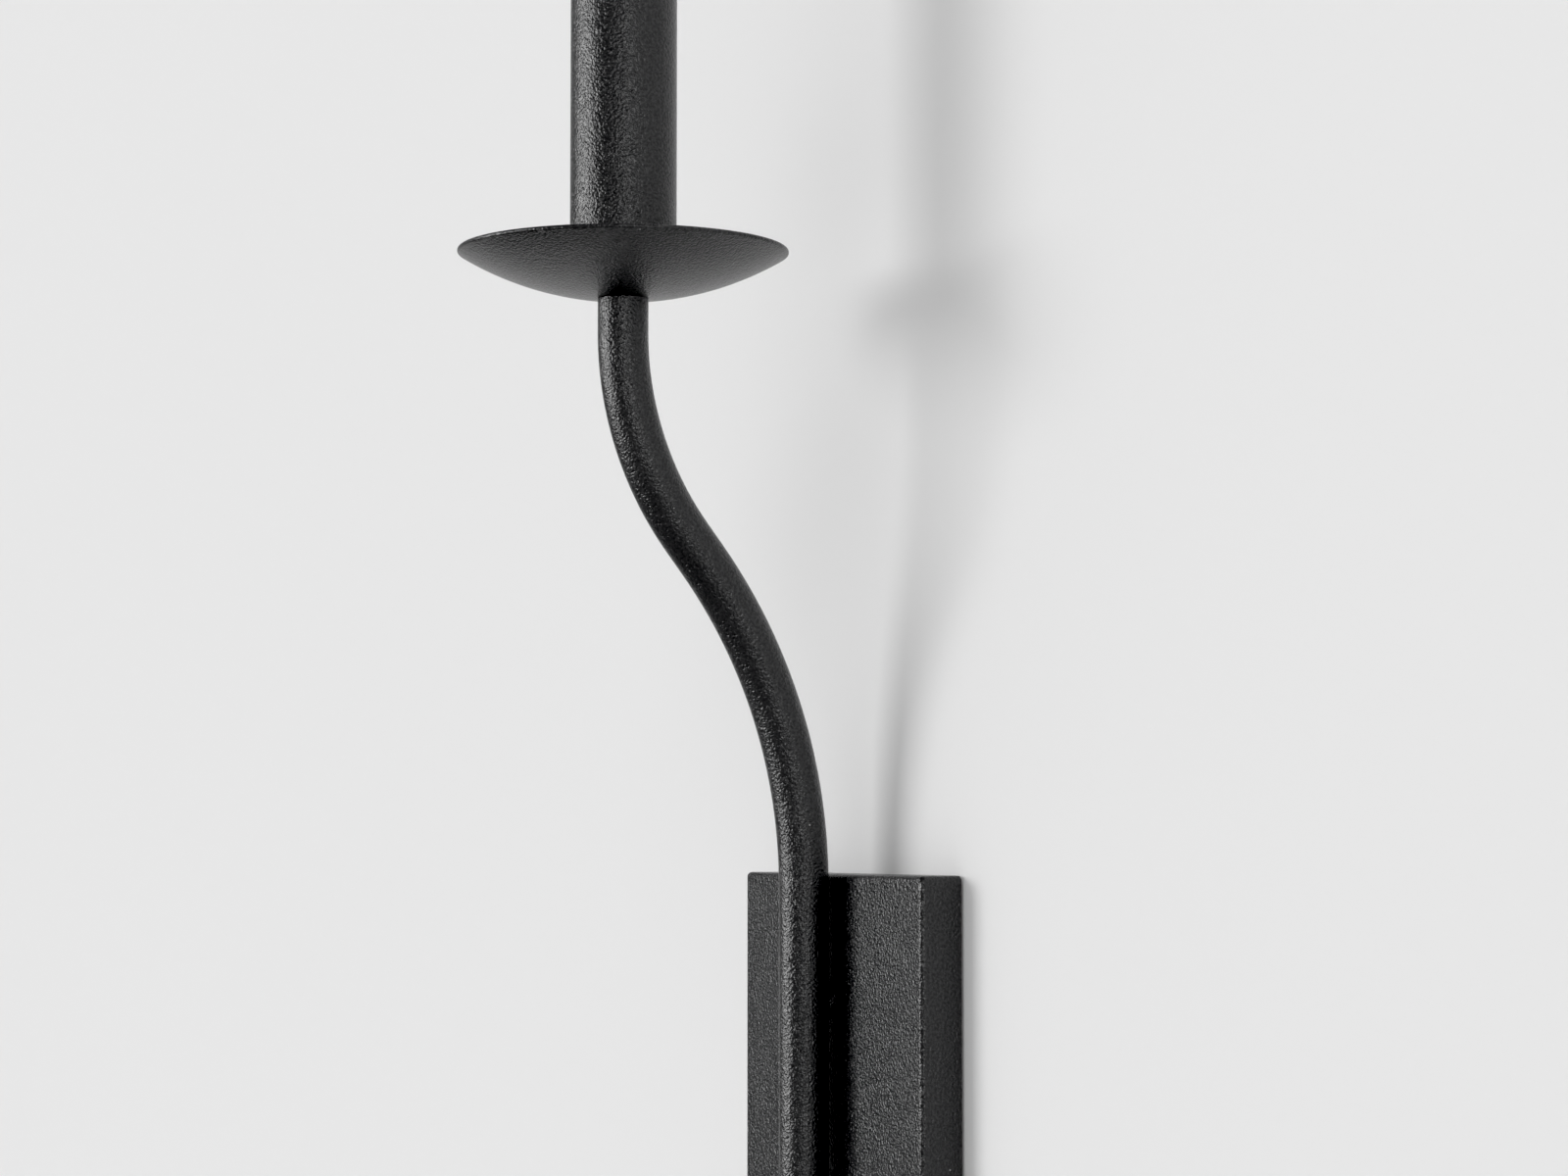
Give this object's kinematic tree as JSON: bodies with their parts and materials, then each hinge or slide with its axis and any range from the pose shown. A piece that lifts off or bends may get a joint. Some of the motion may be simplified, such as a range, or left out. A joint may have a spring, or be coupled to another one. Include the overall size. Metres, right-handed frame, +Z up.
{
  "type": "wall sconce candle holder",
  "caption": "Black wall sconce for a dinner candle: an S-bent round arm on a boxed back plate carries a shallow drip dish and a tall tube, hung on a hidden wall bracket.",
  "frame": {"origin": "on the wall plane, behind the middle of the back plate, on the wall bracket's back face", "axes": "+Z up along the wall, +Y into the wall so that the front faces -Y, +X along the wall to the right as seen from the front"},
  "size_m": [0.092, 0.1074, 0.4226],
  "materials": {
    "powder_coat": "black powder coat with a fine wrinkle texture, satin",
    "zinc_plated_steel": "bright zinc plating",
    "blackened_steel": "smooth black oxide"
  },
  "bodies": {
    "wall_bracket": {"wall_bracket": "zinc_plated_steel", "bracket_nut": "zinc_plated_steel"},
    "lock_screw": {"lock_screw": "blackened_steel"},
    "fixture": {"back_plate": "powder_coat", "doubler_plate": "powder_coat", "hanger_cleat": "powder_coat", "arm": "powder_coat", "arm_spacer_upper": "powder_coat", "arm_spacer_lower": "powder_coat", "arm_screw_upper": "zinc_plated_steel", "arm_screw_lower": "zinc_plated_steel", "arm_washer_upper": "zinc_plated_steel", "arm_washer_lower": "zinc_plated_steel", "drip_dish": "powder_coat", "stud": "zinc_plated_steel", "tube_spigot": "zinc_plated_steel", "stud_washer": "zinc_plated_steel", "stud_lock_washer": "zinc_plated_steel", "stud_nut": "zinc_plated_steel"},
    "candle_tube": {"candle_tube": "powder_coat", "candle_seat": "zinc_plated_steel"}
  },
  "joints": [
    {"name": "fixture_lift", "type": "slide", "parent": "wall_bracket", "child": "fixture", "axis": [0, 0, 1], "range_m": [0, 0.01]},
    {"name": "lock_screw_out", "type": "slide", "parent": "wall_bracket", "child": "lock_screw", "axis": [0, 0, -1], "range_m": [0, 0.025]},
    {"name": "tube_lift", "type": "slide", "parent": "fixture", "child": "candle_tube", "axis": [0, 0, 1], "range_m": [0, 0.03]}
  ]
}
